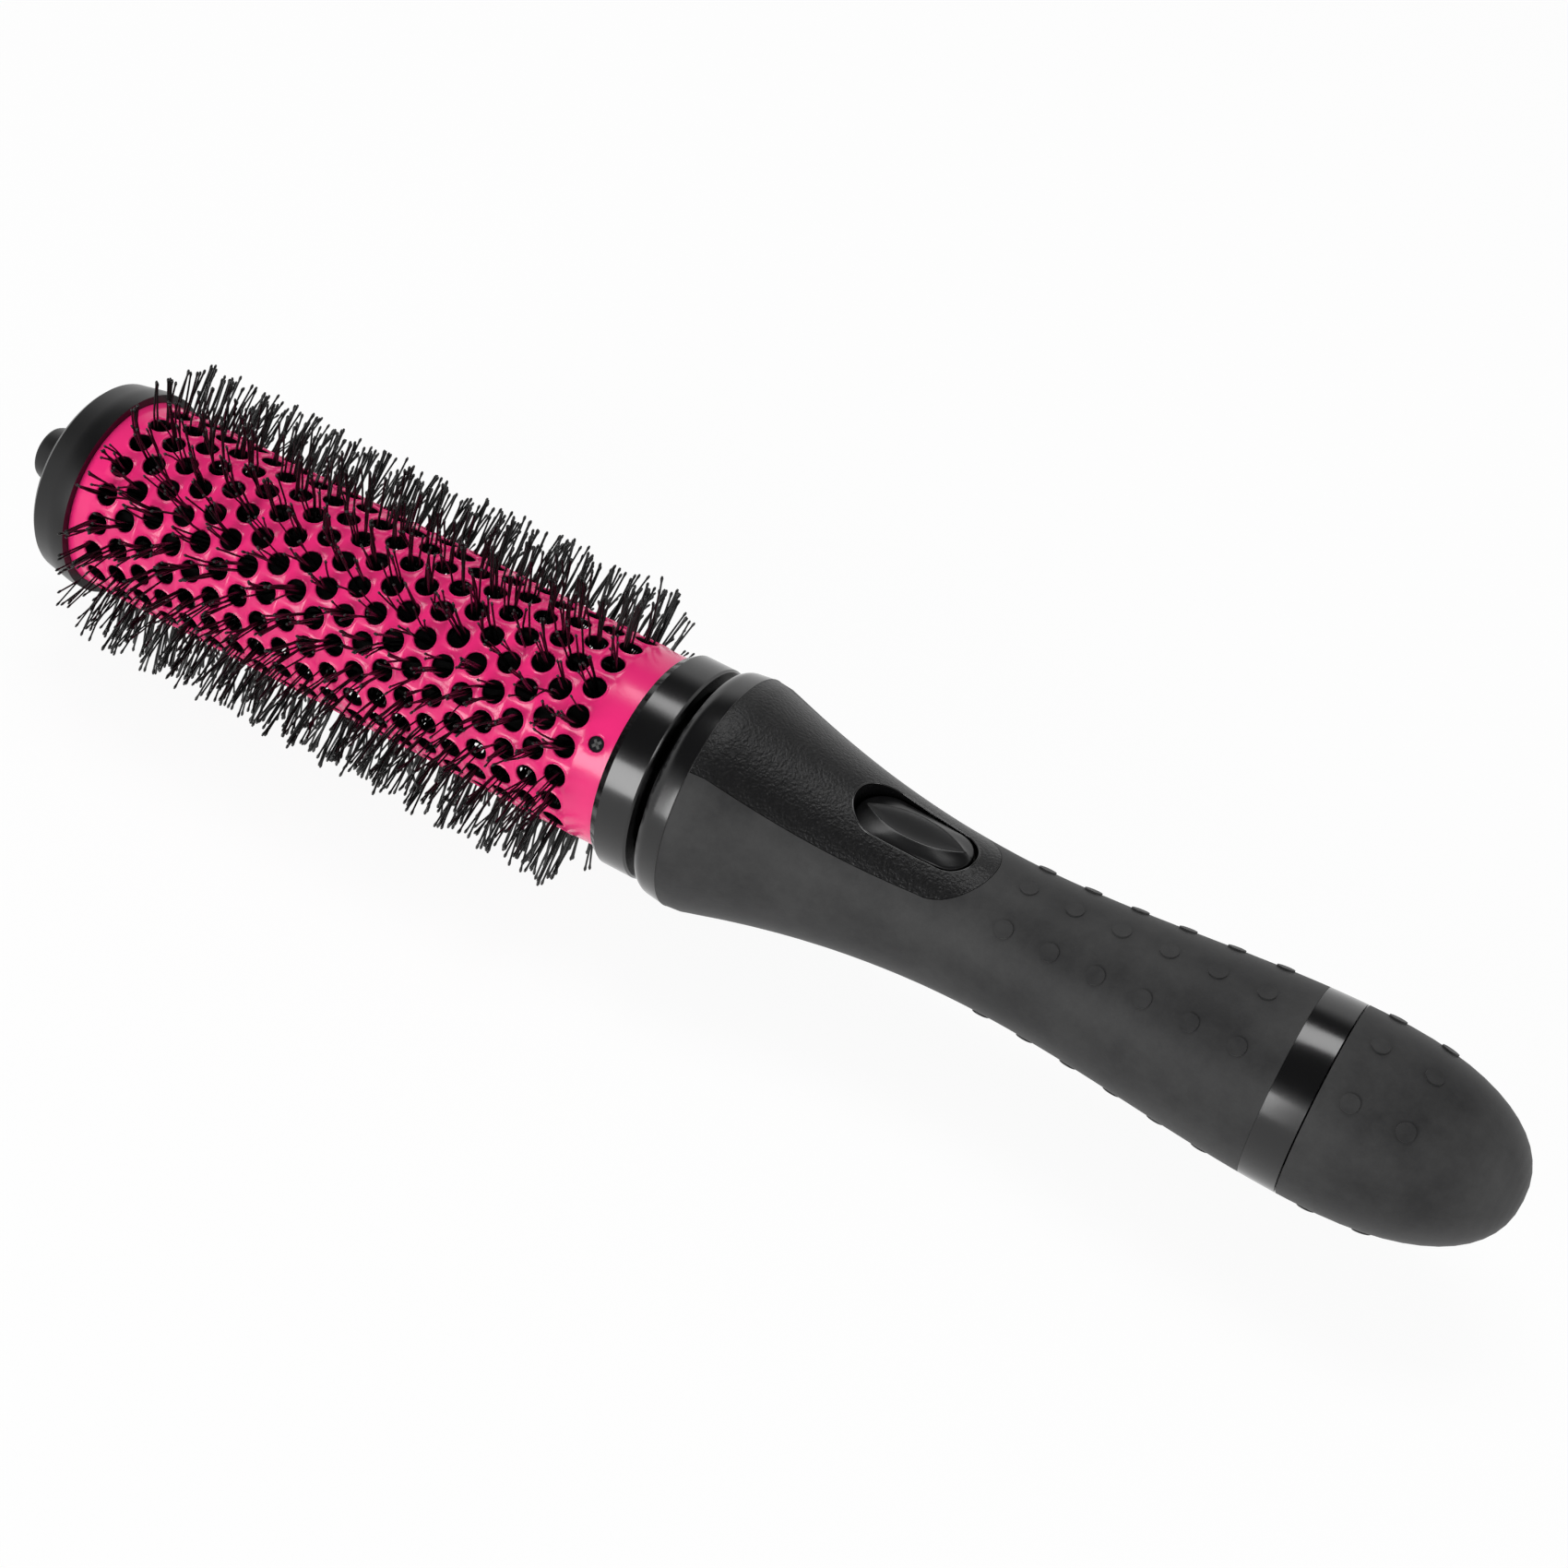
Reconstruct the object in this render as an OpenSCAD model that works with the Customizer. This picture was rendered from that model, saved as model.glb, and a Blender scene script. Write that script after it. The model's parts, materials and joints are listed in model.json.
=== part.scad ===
// Cordless spinning round brush: a vented, bristled barrel that a geared motor in the handle turns.
// The long axis is X, the bristled end points to -X, and the switch faces +Z.
// Positions along X are counted from the middle of the running gap between brush and handle,
// and place() then moves the middle of the whole length to the origin.

/* [Brush] */
// Running gap to the end of the tip knob
brush_l = 150.5; // [149.5:0.5:156]
// Outside diameter of the vented barrel
barrel_d = 38.6; // [37:0.2:42]
// Wall of the vented barrel
barrel_wall = 1.2; // [1:0.1:1.5]
// Diameter across the bristle tips
bristle_d = 59; // [52:1:70]
// Vent holes in one ring around the barrel
holes_around = 20; // [16:4:20]
// Rings of vent holes along the barrel
hole_rings = 20; // [12:1:20]
// Diameter of a vent hole
hole_d = 4.2; // [3:0.1:4.4]
// Distance from one ring of holes to the next
ring_pitch = 5.53; // [4.6:0.01:5.6]
// Rim of the tip cap standing over the barrel
cap_rim_h = 1.7; // [1.4:0.1:2]
// Radius that the tip cap loses towards its front
cap_taper = 1; // [0:0.1:1.2]
// Length of the tip cap's rim
cap_rim_l = 8.6; // [7:0.1:8.8]
// Diameter of the tip knob
knob_d = 11.1; // [8:0.1:12]
// Length of the tip knob
knob_l = 11.9; // [9:0.1:12.2]
// Rim of the root collar standing over the barrel
collar_rim_h = 1.95; // [1.4:0.05:2.2]
// Length of the root collar
collar_l = 7.9; // [6:0.1:8.2]

/* [Handle] */
// Running gap to the end of the handle
handle_l = 163; // [161:0.5:170]
// Width of the running gap
gap_w = 2.5; // [1.8:0.1:3]
// Largest diameter that the front outline aims at, behind the head ring
head_d = 44.6; // [44.2:0.2:47]
// Diameter of the handle's neck
neck_d = 27.9; // [27.8:0.1:30]
// Position of the neck
neck_x = 65; // [63:0.5:66]
// Diameter of the handle's bulge at the end cap
bulge_d = 35.8; // [35.6:0.2:39]
// Position of the bulge
bulge_x = 129; // [128.5:0.5:132]
// Thickness of the rubber grip
grip_t = 2; // [1.6:0.1:2.2]
// Wall of the inner housing
housing_wall = 1.8; // [1.4:0.1:2]
// Position of the gloss band's front edge
band_x = 119.3; // [117:0.1:119.5]
// Width of the gloss band
band_w = 6.9; // [6:0.1:7.2]
// Nubs in one row along the grip
nubs_per_row = 6; // [3:1:6]
// Distance from one nub to the next in its row
nub_pitch = 8.9; // [7:0.1:9.2]
// Rows of nubs on each face of the grip
nub_rows = 3; // [1:1:4]
// Angle from one row of nubs to the next
nub_spread = 38; // [30:1:44]
// Diameter of a nub
nub_d = 3.3; // [2:0.1:3.8]
// Height of a nub over the grip
nub_h = 0.3; // [0.2:0.05:0.7]

/* [Switch] */
// Middle of the rocker along the handle
rocker_x = 44.2; // [43.6:0.1:44.6]
// Length of the rocker
rocker_l = 21.5; // [18:0.5:21.5]
// Width of the rocker at its front end
rocker_w = 10.6; // [8.4:0.2:10.6]
// Height of the rocker's top over the long axis
rocker_top = 14.9; // [14.7:0.1:15.4]

/* [Drive] */
// Gear module of both planetary stages
gear_module = 0.5; // [0.48:0.005:0.51]
// Face width of the planet gears
planet_w = 3; // [2.4:0.1:3.2]
// Diameter of the output shaft
shaft_d = 6; // [5:0.2:6.4]
// Diameter of the motor can
motor_d = 20.1; // [19:0.1:20.4]
// Height of the motor can across its flats
motor_h = 15.1; // [14:0.1:15.4]
// Length of the motor can
motor_l = 20; // [18:0.5:20]

/* [Battery] */
// Diameter of one cell
cell_d = 14.5; // [13.5:0.1:14.6]
// Room behind the cells for the spring, its plate and the end of the cap
end_room = 12.8; // [12.6:0.1:14]
// Axial advance of the battery cap in one turn
cap_pitch = 3; // [2:0.5:4]

/* [Hidden] */
$fn = 64;
slip = 0.1;
run = 0.05;
axial = 0.3;
origin_x = (handle_l - brush_l) / 2;

// Brush, from the tip to the running gap
barrel_r = barrel_d / 2;
barrel_in = barrel_r - barrel_wall;
cap_r = barrel_r + cap_rim_h;
collar_r = barrel_r + collar_rim_h;
knob_r = knob_d / 2;
knob_tip = -brush_l;
cap_end = knob_tip + knob_l + axial;
cap_rim_x = cap_end + cap_rim_l;
plate_t = 2;
barrel_x0 = cap_end + plate_t;
collar_x1 = -gap_w / 2;
collar_x0 = collar_x1 - collar_l;
web_t = 1.8;
barrel_x1 = collar_x1 - web_t;
spigot_t = 1.7;
spigot_r = barrel_in - slip / 2;
spigot_l = 6.5;
last_ring_x = collar_x0 - 9.2;
first_ring_x = last_ring_x - (hole_rings - 1) * ring_pitch;
hole_step = 360 / holes_around;
function ring_turn(ring) = ((hole_rings - 1 - ring) % 2 == 0 ? 1 : -1) * hole_step / 4;
screws_n = 2;
screw_x = last_ring_x + ring_pitch;
screw_turn = 2.75 * hole_step;
screw_head_r = 1.4;
screw_shank_r = 0.9;

// Bristle core and strips inside the barrel
core_r = 12.4;
core_bore = 6.1;
groove_floor = 11.2;
strip_top = 13.6;
strip_w = 2.6;
strand_r = 0.6;
strand_lean = 4;
strip_x0 = first_ring_x - 3;
strip_x1 = last_ring_x + 3;
core_x0 = barrel_x0 + slip;
core_x1 = barrel_x1 - slip;
hub_r = core_bore - slip / 2;
hub_l = 12;
pin_shank_r = 2;
pin_thread_r = 1.5;
pin_head_r = 3;

// Drive line
sun_teeth = 12;
planet_teeth = 18;
ring_teeth = sun_teeth + 2 * planet_teeth;
planets_n = 3;
shaft_r = shaft_d / 2;
shaft_x0 = collar_x1 - 8.5;
shaft_flat = shaft_r * 0.8;
flat_l = 5.2;
hub_screw_r = 1.2;
hub_thread_l = 5;
centre_r = gear_module * (sun_teeth + planet_teeth) / 2;
addendum = 0.8 * gear_module;
dedendum = 1.2 * gear_module;
tooth_play = 0.03;
planet_pin_r = 1;
carrier_r = centre_r + 2;
head_x = gap_w / 2;
case_x0 = head_x + 3;
case_wall = 2;
case_r = gear_module * ring_teeth / 2 + dedendum + 1.9;
case_screw_at = case_r - 1;
case_screw_r = 0.5;
case_screw_l = 4;
case_screw_head_r = 0.95;
case_screw_head_h = 0.8;
case_screw_turn = 60;
carrier2_x = case_x0 + case_wall + axial;
carrier2_t = 1.5;
planet2_x = carrier2_x + carrier2_t + 0.2;
carrier1_x = planet2_x + planet_w + axial;
carrier1_t = 1.2;
planet1_x = carrier1_x + carrier1_t + 0.2;
cover_x = planet1_x + planet_w + axial;
cover_t = 2;
motor_x = cover_x + cover_t;
motor_end = motor_x + motor_l;
motor_wall = 0.8;
bell_t = 2.6;
motor_shaft_r = 1;
boss_r = 3;
bush_r = shaft_r + run + 1.2;
bush_flange = 1;

// Handle shells
ring_w = 5;
ring_x1 = head_x + ring_w;
ring_spigot_l = 3;
neck_lip_t = 2;
neck_lip_l = 1.8;
shoulder_x = 10.75;
head_r = head_d / 2;
neck_r = neck_d / 2;
bulge_r = bulge_d / 2;
front_r = collar_r + 1.1;
front_slope = 0.14;
front_edge = 0.5;
front_end_x = 30;
blend = 0.6;
dome_power = 2.3;
nub_turns = [for (face = [0, 180], k = [0 : nub_rows - 1]) face + (k - (nub_rows - 1) / 2) * nub_spread];
band_x1 = band_x + band_w;
skin = grip_t + slip;
cap_gap = 0.3;
cap_x = band_x1 + cap_gap;
step_x = 3;
neck_lip = collar_r - 4;
rib_t = 2;
boss_h = 4.5;
boss_wall_r = 2;
cut_over = 5;
cap_nubs_in = [2.8, 12.7];

// Grip panel, its well and the rocker
panel_front_w = 30;
panel_end_r = 10;
panel_end_x = 50.3;
recess_l = rocker_l + 2.9;
recess_w = rocker_w + 1.8;
taper = 0.84;
well_t = 1.2;
rocker_pivot_z = rocker_top - 2.7;
well_floor = rocker_pivot_z - 1.1;
board_t = 0.8;
board_top = well_floor - 1.6;
board_low = board_top - board_t;
joint_gap = 0.15;
rocker_side_h = 1.1;
rocker_bevel = 1.3;
rocker_pin_r = 0.8;
rocker_pin_l = recess_w + 1.4;
blade_t = 0.4;
blade_l = 12;
blade_w = 3;
slot_l = 15;
slot_w = 5;

// Battery bay
tube_wall = 1;
tube_r = cell_d / 2 + 0.25;
cells_x = 49.2;
cell_l = (handle_l - cells_x - end_room) / 2;
cells_end = cells_x + 2 * cell_l;
tube_x0 = cells_x - 0.9;
tab_t = 0.4;
bore_r = 13.5;
skirt_r = bore_r - 0.3;
skirt_t = 1.7;
skirt_l = 7;
seal_r = 0.55;
spring_wire = 0.4;
spring_turns = 3.5;
end_gap = 6.8;
cap_plate_t = 0.8;
cap_plate_r = 5.6;
plate_clear = 0.4;
cap_plate_x = min(handle_l - end_gap,
  dome_room(cap_plate_r + plate_clear, skin + housing_wall) - cap_plate_t);
spring_l = cap_plate_x - cells_end - 0.2;

// Handle outline: a parabola down to the neck, a cubic up to the bulge, then a full dome to the end.
// In front, a line rising from the head ring's rounded edge runs softly into the parabola.
function soft_min(a, b, w) = (a + b - sqrt((a - b) ^ 2 + w ^ 2)) / 2;
function parabola(x) = neck_r + (head_r - neck_r) * ((neck_x - x) / (neck_x - shoulder_x)) ^ 2;
function rise(x) =
  front_r + front_slope * (x - head_x) - front_edge * (1 - min(1, (x - head_x) / 1.5)) ^ 2;
function outer_r(x) =
  x < neck_x ? soft_min(parabola(x), rise(min(x, front_end_x)), blend)
  : x < bulge_x ? let(t = (x - neck_x) / (bulge_x - neck_x))
    neck_r + (bulge_r - neck_r) * (3 * t ^ 2 - 2 * t ^ 3)
  : let(t = min(1, (x - bulge_x) / (handle_l - bulge_x)))
    bulge_r * (1 - t ^ dome_power) ^ (1 / dome_power);
function slope_at(x) = (outer_r(x + 0.1) - outer_r(x - 0.1)) / 0.2;
function stations(x0, x1, step = step_x) =
  let(n = ceil((x1 - x0) / step)) [for (i = [0 : n]) x0 + (x1 - x0) * i / n];
function backwards(list) = [for (i = [len(list) - 1 : -1 : 0]) list[i]];
function skin_line(x0, x1, depth, step = step_x) =
  [for (x = stations(x0, x1, step)) [outer_r(x) - depth, x]];
function shell(x0, x1, outside, inside, step = step_x) =
  concat(skin_line(x0, x1, outside, step), backwards(skin_line(x0, x1, inside, step)));
function dome(depth) = [for (i = [0 : 14]) let(a = 90 * i / 14, p = 2 / dome_power)
  [(bulge_r - depth) * cos(a) ^ p, bulge_x + (handle_l - bulge_x - depth) * sin(a) ^ p]];
// How far back a disc of radius r goes inside the dome
function dome_room(r, depth) = bulge_x + (handle_l - bulge_x - depth)
  * (1 - (r / (bulge_r - depth)) ^ dome_power) ^ (1 / dome_power);

// Involute gear outline, with the tooth's half angle worked out at each radius
function inv(r, base) = let(a = acos(min(1, base / r))) tan(a) * 180 / PI - a;
function half_tooth(r, teeth, play) =
  let(pitch = gear_module * teeth / 2, base = pitch * cos(20))
  90 / teeth - play / pitch * 180 / PI + inv(pitch, base) - inv(max(r, base), base);
function polar(r, a) = [r * cos(a), r * sin(a)];
function gear(teeth, tip, root, play, turn = 0) =
  let(pitch = gear_module * teeth / 2, low = max(pitch - root, pitch * cos(20)), high = pitch + tip,
      radii = [for (i = [0 : 3]) low + (high - low) * i / 3])
  [for (k = [0 : teeth - 1]) let(mid = turn + k * 360 / teeth) each concat(
    low > pitch - root ? [polar(pitch - root, mid - half_tooth(low, teeth, play))] : [],
    [for (r = radii) polar(r, mid - half_tooth(r, teeth, play))],
    [for (i = [3 : -1 : 0]) polar(radii[i], mid + half_tooth(radii[i], teeth, play))],
    low > pitch - root ? [polar(pitch - root, mid + half_tooth(low, teeth, play))] : [])];

// Building helpers
module place() translate([-origin_x, 0, 0]) children();
module along_x() rotate([0, 90, 0]) children();
module rod(x0, x1, r) translate([x0, 0, 0]) along_x() cylinder(h = x1 - x0, r = r);
module tube(x0, x1, outer, inner) difference() {
  rod(x0, x1, outer);
  rod(x0 - 1, x1 + 1, inner);
}
module turned(outline) along_x() rotate_extrude() polygon(outline);
module gear_solid(x, w, outline) translate([x, 0, 0]) along_x() linear_extrude(w) polygon(outline);
module around(n, start = 0) for (i = [0 : n - 1]) rotate([start + i * 360 / n, 0, 0]) children();
module pins(x0, x1, r, centre, start = 0) around(planets_n, start) translate([0, 0, -centre]) rod(x0, x1, r);
// Outline of two circles and their outer tangents, as one run of points
function arc(x, r, from, to, n) =
  [for (i = [0 : n]) let(a = from + (to - from) * i / n) [x + r * cos(a), r * sin(a)]];
module egg(x0, r0, x1, r1) {
  tilt = acos((r0 - r1) / (x1 - x0));
  polygon(concat(arc(x1, r1, -tilt, tilt, 16), arc(x0, r0, tilt, 360 - tilt, 20)));
}
module oval(length, width, ratio = taper) {
  front = width / 2;
  egg(rocker_x - length / 2 + front, front, rocker_x + length / 2 - front * ratio, front * ratio);
}
// Outline of two equal arcs that meet in points
module lens(length, width) {
  r = (length ^ 2 + width ^ 2) / (4 * width);
  half = asin(length / 2 / r);
  side = [for (i = [0 : 16]) let(a = half * (i / 8 - 1))
    [rocker_x + r * sin(a), r * cos(a) - r + width / 2]];
  polygon(concat(side, [for (i = [15 : -1 : 1]) [side[i][0], -side[i][1]]]));
}
module well_plan(gap) oval(recess_l + 2 * well_t + 2 * gap, recess_w + 2 * well_t + 2 * gap);
module panel_plan(gap) {
  half = panel_front_w / 2 + gap;
  polygon(concat(arc(panel_end_x, panel_end_r + gap, -90, 90, 20),
    [[ring_x1 - 1, half], [ring_x1 - 1, -half]]));
}
module nubs(xs) for (x = xs, turn = nub_turns) rotate([turn, 0, 0]) translate([x, 0, outer_r(x)])
  rotate([0, -atan(slope_at(x)), 0]) translate([0, 0, -0.8]) rotate(20)
    cylinder(h = 0.8 + nub_h, r = nub_d / 2);
// Tube swept along a route, as one closed solid
function tangent(route, i) = route[min(i + 1, len(route) - 1)] - route[max(i - 1, 0)];
function side_of(d) = let(u = cross(d, [0.31, 0.95, 0.05])) u / norm(u);
function up_of(d) = let(u = cross(side_of(d), d)) u / norm(u);
function bend(p, n) = [for (s = [0 : len(p) - 2], i = [0 : n - 1]) let(
    a = p[max(s - 1, 0)], b = p[s], c = p[s + 1], d = p[min(s + 2, len(p) - 1)], t = i / n)
    ((2 * b) + (c - a) * t + (2 * a - 5 * b + 4 * c - d) * t ^ 2 + (3 * b - a - 3 * c + d) * t ^ 3) / 2,
  p[len(p) - 1]];
module sweep(route, r, sides) {
  rings = len(route);
  points = [for (i = [0 : rings - 1], k = [0 : sides - 1]) let(d = tangent(route, i), a = 360 * k / sides)
    route[i] + r * (cos(a) * side_of(d) + sin(a) * up_of(d))];
  walls = [for (i = [0 : rings - 2], k = [0 : sides - 1])
    let(a = i * sides + k, b = i * sides + (k + 1) % sides)
    each [[a, b, a + sides], [b, b + sides, a + sides]]];
  last = (rings - 1) * sides;
  ends = [for (k = [1 : sides - 2]) each [[0, k + 1, k], [last, last + k, last + k + 1]]];
  polyhedron(points, concat(walls, ends));
}

// Brush
module barrel() color("deeppink") difference() {
  tube(barrel_x0, barrel_x1, barrel_r, barrel_in);
  for (i = [0 : hole_rings - 1]) around(holes_around, ring_turn(i))
    translate([first_ring_x + i * ring_pitch, 0, barrel_in - 1])
      cylinder(h = barrel_wall + 2, r = hole_d / 2);
  around(screws_n, screw_turn) translate([screw_x, 0, barrel_in - 1])
    cylinder(h = barrel_wall + 2, r = screw_head_r + slip);
}
module tip_cap() color("#1c1c1e") difference() {
  union() {
    turned([[0, cap_end], [cap_r - cap_taper - 0.8, cap_end], [cap_r - cap_taper, cap_end + 0.8],
            [cap_r, cap_rim_x - 2.5], [cap_r, cap_rim_x],
            [barrel_r + slip / 2, cap_rim_x], [barrel_r + slip / 2, barrel_x0], [0, barrel_x0]]);
    tube(barrel_x0 - slip, barrel_x0 + spigot_l, spigot_r, spigot_r - spigot_t);
    rod(barrel_x0 - slip, barrel_x0 + hub_l, hub_r);
  }
  rod(cap_end - 1, barrel_x0 + hub_l + 1, pin_thread_r);
  rod(cap_end - 1, cap_end + 1, pin_shank_r + run);
}
module root_collar() color("#1c1c1e") difference() {
  union() {
    turned([[0, barrel_x1], [barrel_r + slip / 2, barrel_x1], [barrel_r + slip / 2, collar_x0],
            [collar_r - 0.9, collar_x0], [collar_r, collar_x0 + 1.4], [collar_r, collar_x1 - 0.4],
            [collar_r - 0.4, collar_x1], [0, collar_x1]]);
    tube(screw_x - 1.8, barrel_x1 + slip, spigot_r, spigot_r - spigot_t);
    rod(barrel_x1 - hub_l, barrel_x1 + slip, hub_r);
  }
  difference() {
    rod(shaft_x0 - slip, 0, shaft_r + run);
    translate([shaft_x0 - 1, -shaft_r - 1, shaft_flat + run]) cube([flat_l + 0.8, shaft_d + 2, shaft_d]);
  }
  rod(barrel_x1 - hub_l - 1, shaft_x0, hub_screw_r + slip);
  rod(barrel_x1 - hub_l - 1, barrel_x1 - hub_l + 2, hub_screw_r * 2 + slip);
  around(screws_n, screw_turn) translate([screw_x, 0, core_r])
    cylinder(h = barrel_r, r = screw_shank_r + run);
}
module bristle_core() color("#2a2a2c") difference() {
  tube(core_x0, core_x1, core_r, core_bore);
  around(holes_around) translate([core_x0 - 1, -strip_w / 2 - slip / 2, groove_floor])
    cube([core_x1 - core_x0 + 2, strip_w + slip, core_r]);
}
// One strip of backing with two staggered rows of tufts, each tuft drawn as one strand
module bristle_strip() {
  translate([strip_x0, -strip_w / 2, groove_floor])
    cube([strip_x1 - strip_x0, strip_w, strip_top - groove_floor]);
  for (i = [0 : hole_rings - 1]) rotate([ring_turn(i), 0, 0])
    translate([first_ring_x + i * ring_pitch, 0, strip_top - 1])
      rotate([0, i % 4 < 2 ? strand_lean : -strand_lean, 0])
        cylinder(h = (bristle_d / 2 - strip_top + 1) / cos(strand_lean), r = strand_r, $fn = 4);
}
module bristle_strips(first) color("#111111") for (k = [first : 4 : holes_around - 1])
  rotate([k * hole_step, 0, 0]) bristle_strip();
module bristle_strips_a() bristle_strips(0);
module bristle_strips_b() bristle_strips(1);
module bristle_strips_c() bristle_strips(2);
module bristle_strips_d() bristle_strips(3);
module barrel_screws() color("dimgray") around(screws_n, screw_turn) translate([screw_x, 0, 0]) {
  translate([0, 0, spigot_r + 0.02]) cylinder(h = barrel_r - spigot_r - 0.3, r = screw_head_r);
  translate([0, 0, spigot_r - spigot_t]) cylinder(h = spigot_t + 0.1, r = screw_shank_r);
}
module knob_pin() color("silver") {
  rod(knob_tip + 0.8, knob_tip + 2.6, pin_head_r);
  rod(knob_tip + 2.5, cap_end + 0.9, pin_shank_r);
  rod(cap_end + 0.8, barrel_x0 + hub_l - 1, pin_thread_r - run);
}
module tip_knob() color("#202022") difference() {
  turned([[0, knob_tip], [knob_r - 0.8, knob_tip], [knob_r - 0.25, knob_tip + 0.25],
          [knob_r, knob_tip + 0.8], [knob_r, cap_end - axial], [0, cap_end - axial]]);
  rod(knob_tip - 1, cap_end, pin_shank_r + run);
  rod(knob_tip - 1, knob_tip + 2.6 + axial, pin_head_r + 0.3);
}
module hub_screw() color("silver") {
  rod(barrel_x1 - hub_l, barrel_x1 - hub_l + 1.9, hub_screw_r * 2);
  rod(barrel_x1 - hub_l + 1.8, shaft_x0 + hub_thread_l, hub_screw_r);
}

// Drive
module output_carrier() color("gainsboro") difference() {
  union() {
    rod(carrier2_x, carrier2_x + carrier2_t, carrier_r);
    intersection() {
      rod(shaft_x0, carrier2_x + 0.1, shaft_r);
      union() {
        translate([shaft_x0 - 1, -shaft_r - 1, -shaft_r - 1])
          cube([flat_l + 2, shaft_d + 2, shaft_r + 1 + shaft_flat]);
        rod(shaft_x0 + flat_l, carrier2_x + 1, shaft_r + 1);
      }
    }
    pins(carrier2_x + 0.1, planet2_x + planet_w - 0.1, planet_pin_r, centre_r);
  }
  rod(shaft_x0 - 1, shaft_x0 + hub_thread_l + 1, hub_screw_r + run);
}
module stage_carrier() color("gainsboro") {
  rod(carrier1_x, carrier1_x + carrier1_t, carrier_r);
  gear_solid(planet2_x, carrier1_x - planet2_x + 0.1, gear(sun_teeth, addendum, dedendum, tooth_play));
  pins(carrier1_x + 0.1, planet1_x + planet_w - 0.1, planet_pin_r, centre_r);
}
// A planet has a tooth gap towards the sun gear and another towards the ring gear
module planet(x, index) color("ivory") rotate([index * 360 / planets_n, 0, 0])
  translate([0, 0, -centre_r]) difference() {
    gear_solid(x, planet_w, gear(planet_teeth, addendum, dedendum, tooth_play, 180 / planet_teeth));
    rod(x - 1, x + planet_w + 1, planet_pin_r + run);
  }
module planet_1a() planet(planet1_x, 0);
module planet_1b() planet(planet1_x, 1);
module planet_1c() planet(planet1_x, 2);
module planet_2a() planet(planet2_x, 0);
module planet_2b() planet(planet2_x, 1);
module planet_2c() planet(planet2_x, 2);
module sun_pinion() color("goldenrod") difference() {
  gear_solid(planet1_x + 0.1, planet_w - 0.1, gear(sun_teeth, addendum, dedendum, tooth_play));
  rod(planet1_x - 1, planet1_x + planet_w + 1, motor_shaft_r + 0.02);
}
module rotor() color("silver") {
  rod(planet1_x + 0.2, motor_end + bell_t - 0.8, motor_shaft_r);
  translate([motor_x + 4, 0, 0]) around(3) intersection() {
    rod(0, motor_l - 9, motor_h / 2 - motor_wall - 0.6);
    union() {
      translate([0, -1.2, 0]) cube([motor_l, 2.4, motor_h]);
      translate([0, -4, motor_h / 2 - 3.4]) cube([motor_l, 8, motor_h]);
    }
  }
  rod(motor_end - 4.6, motor_end - 1.5, 2.4);
}
module motor_section(x0, x1, trim) intersection() {
  rod(x0, x1, motor_d / 2 - trim);
  translate([x0 - 1, -motor_d, -motor_h / 2 + trim]) cube([x1 - x0 + 2, 2 * motor_d, motor_h - 2 * trim]);
}
module motor_can() color("silver") difference() {
  union() {
    motor_section(motor_x, motor_end, 0);
    rod(motor_x - 1.5, motor_x + 0.1, boss_r);
  }
  motor_section(motor_x + 1.2, motor_end + 1, motor_wall);
  rod(motor_x - 2, motor_x + 2, motor_shaft_r + run);
}
module motor_end_bell() color("#f2f2f0") difference() {
  union() {
    motor_section(motor_end, motor_end + bell_t - 1, 0);
    motor_section(motor_end - 0.8, motor_end + 0.1, motor_wall + run);
    rod(motor_end, motor_end + bell_t, boss_r);
    for (s = [1, -1]) translate([motor_end + 0.5, s * 6 - 0.75, -0.25]) cube([bell_t + 1, 1.5, 0.5]);
  }
  rod(motor_end - 2, motor_end + bell_t - 0.5, motor_shaft_r + run);
}
module gearbox_case() color("#303034") difference() {
  rod(case_x0, cover_x, case_r);
  gear_solid(case_x0 + case_wall, cover_x,
    gear(ring_teeth, dedendum, addendum, -tooth_play, 180 / ring_teeth));
  rod(case_x0 - 1, case_x0 + case_wall + 1, bush_r);
  pins(cover_x - case_screw_l - 1, cover_x + 1, case_screw_r + run, case_screw_at, case_screw_turn);
}
module gearbox_cover() color("#303034") difference() {
  rod(cover_x, cover_x + cover_t, case_r);
  rod(cover_x - 1, cover_x + cover_t + 1, boss_r + run);
  pins(cover_x - 1, cover_x + cover_t + 1, case_screw_r + run, case_screw_at, case_screw_turn);
}
module gearbox_screws() color("silver") {
  pins(cover_x - case_screw_l, cover_x + cover_t + 0.1, case_screw_r, case_screw_at, case_screw_turn);
  pins(cover_x + cover_t, cover_x + cover_t + case_screw_head_h, case_screw_head_r, case_screw_at,
    case_screw_turn);
}
module output_bush() color("#b08d57") difference() {
  union() {
    rod(case_x0 - 0.1, case_x0 + case_wall, bush_r - 0.02);
    rod(case_x0 - bush_flange, case_x0, bush_r + 0.8);
  }
  rod(case_x0 - 2, case_x0 + case_wall + 1, shaft_r + run);
}

// Handle
module head_ring() color("#1a1a1c") {
  spigot = min(outer_r(ring_x1), outer_r(ring_x1 + ring_spigot_l)) - skin - housing_wall - slip;
  turned(concat([[bush_r + 1, head_x], [neck_lip - neck_lip_t, head_x],
      [neck_lip - neck_lip_t, head_x - neck_lip_l], [neck_lip, head_x - neck_lip_l],
      [neck_lip, head_x]], skin_line(head_x, ring_x1, 0, 0.5),
    [[spigot, ring_x1], [spigot, ring_x1 + ring_spigot_l], [case_r + run, ring_x1 + ring_spigot_l],
     [case_r + run, case_x0], [bush_r + 1, case_x0]]));
}
rib_in = [12, 9, 6];
rib_mid_x = 84;
boss_in = [3, 9];
rib_xs = [motor_x + rib_in[0], cells_x + rib_in[1], rib_mid_x, band_x - rib_in[2]];
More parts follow.
